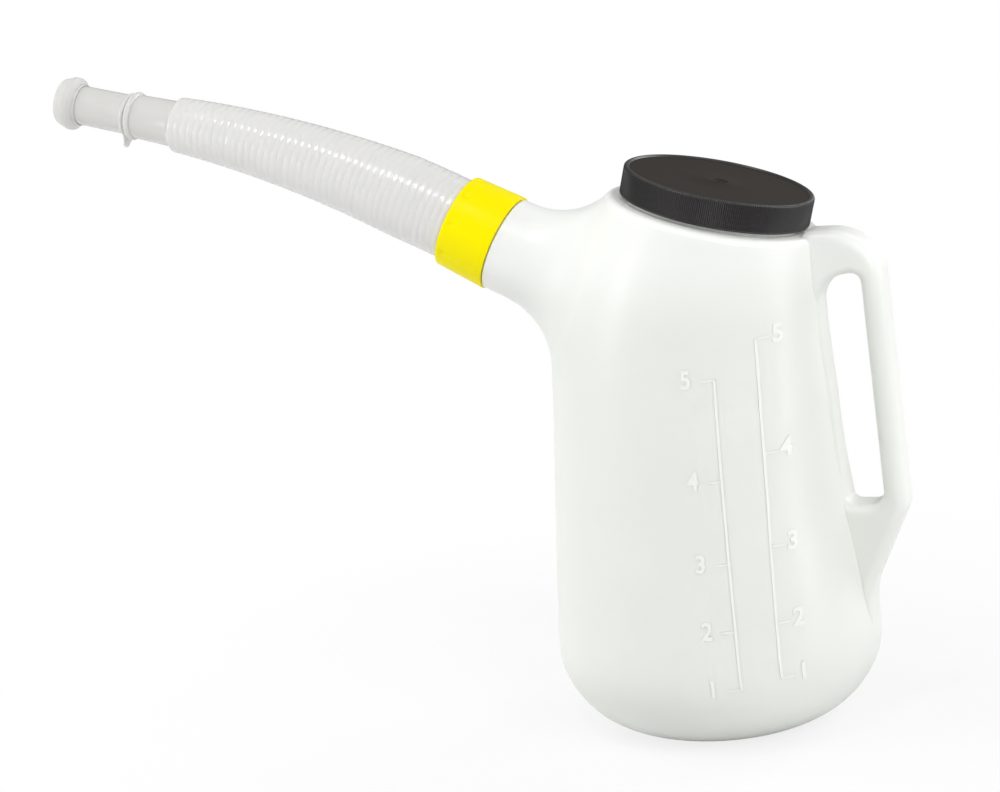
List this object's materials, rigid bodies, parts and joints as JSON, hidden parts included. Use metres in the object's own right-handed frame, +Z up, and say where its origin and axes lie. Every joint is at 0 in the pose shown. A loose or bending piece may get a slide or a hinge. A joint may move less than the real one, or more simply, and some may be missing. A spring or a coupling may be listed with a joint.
{
  "type": "graduated fluid jug",
  "caption": "Translucent measuring jug for oil with a hand loop, slanted filling mouth, black screw lid, yellow collar nut and long ribbed flexible spout with an end cap.",
  "frame": {"origin": "centre of the standing ring, on the surface that the jug stands on", "axes": "+Z up, +X towards the hand loop, the spout towards -X, Y = 0 the plane of symmetry"},
  "size_m": [0.5143, 0.1894, 0.4021],
  "materials": {
    "natural_polyethylene": "satin, translucent",
    "black_lid": "satin",
    "seal_foam": "matt",
    "yellow_nut": "satin",
    "washer_rubber": "matt",
    "clear_spout": "glossy, translucent",
    "clear_cap": "satin, translucent"
  },
  "bodies": {
    "jug": {"jug_body": "natural_polyethylene"},
    "seal": {"lid_seal": "seal_foam"},
    "lid": {"lid": "black_lid"},
    "washer": {"spout_washer": "washer_rubber"},
    "nut": {"collar_nut": "yellow_nut"},
    "spout": {"flexible_spout": "clear_spout"},
    "cap": {"nozzle_cap": "clear_cap"}
  },
  "joints": [
    {"name": "lid_rise", "type": "slide", "parent": "jug", "child": "seal", "axis": [0.2773, 0, 0.9608], "range_m": [0, 0.006]},
    {"name": "lid_turn", "type": "hinge", "parent": "seal", "child": "lid", "pos_m": [0.0193, 0, 0.2986], "axis": [0.2773, 0, 0.9608], "range_deg": [0, 540]},
    {"name": "spout_rise", "type": "slide", "parent": "jug", "child": "washer", "axis": [-0.8829, 0, 0.4695], "range_m": [0, 0.01]},
    {"name": "nut_turn", "type": "hinge", "parent": "washer", "child": "nut", "pos_m": [-0.1102, 0, 0.2862], "axis": [-0.8829, 0, 0.4695], "range_deg": [0, 900]},
    {"name": "spout_swivel", "type": "hinge", "parent": "washer", "child": "spout", "pos_m": [-0.1102, 0, 0.2862], "axis": [-0.8829, 0, 0.4695], "range_deg": [-180, 180]},
    {"name": "cap_slide", "type": "slide", "parent": "spout", "child": "cap", "axis": [-0.9703, 0, 0.2419], "range_m": [0, 0.02]}
  ],
  "couplings": [
    {"joint": "lid_rise", "follows": "lid_turn", "m_per_rad": 0.00063661},
    {"joint": "spout_rise", "follows": "nut_turn", "m_per_rad": 0.00063661}
  ]
}
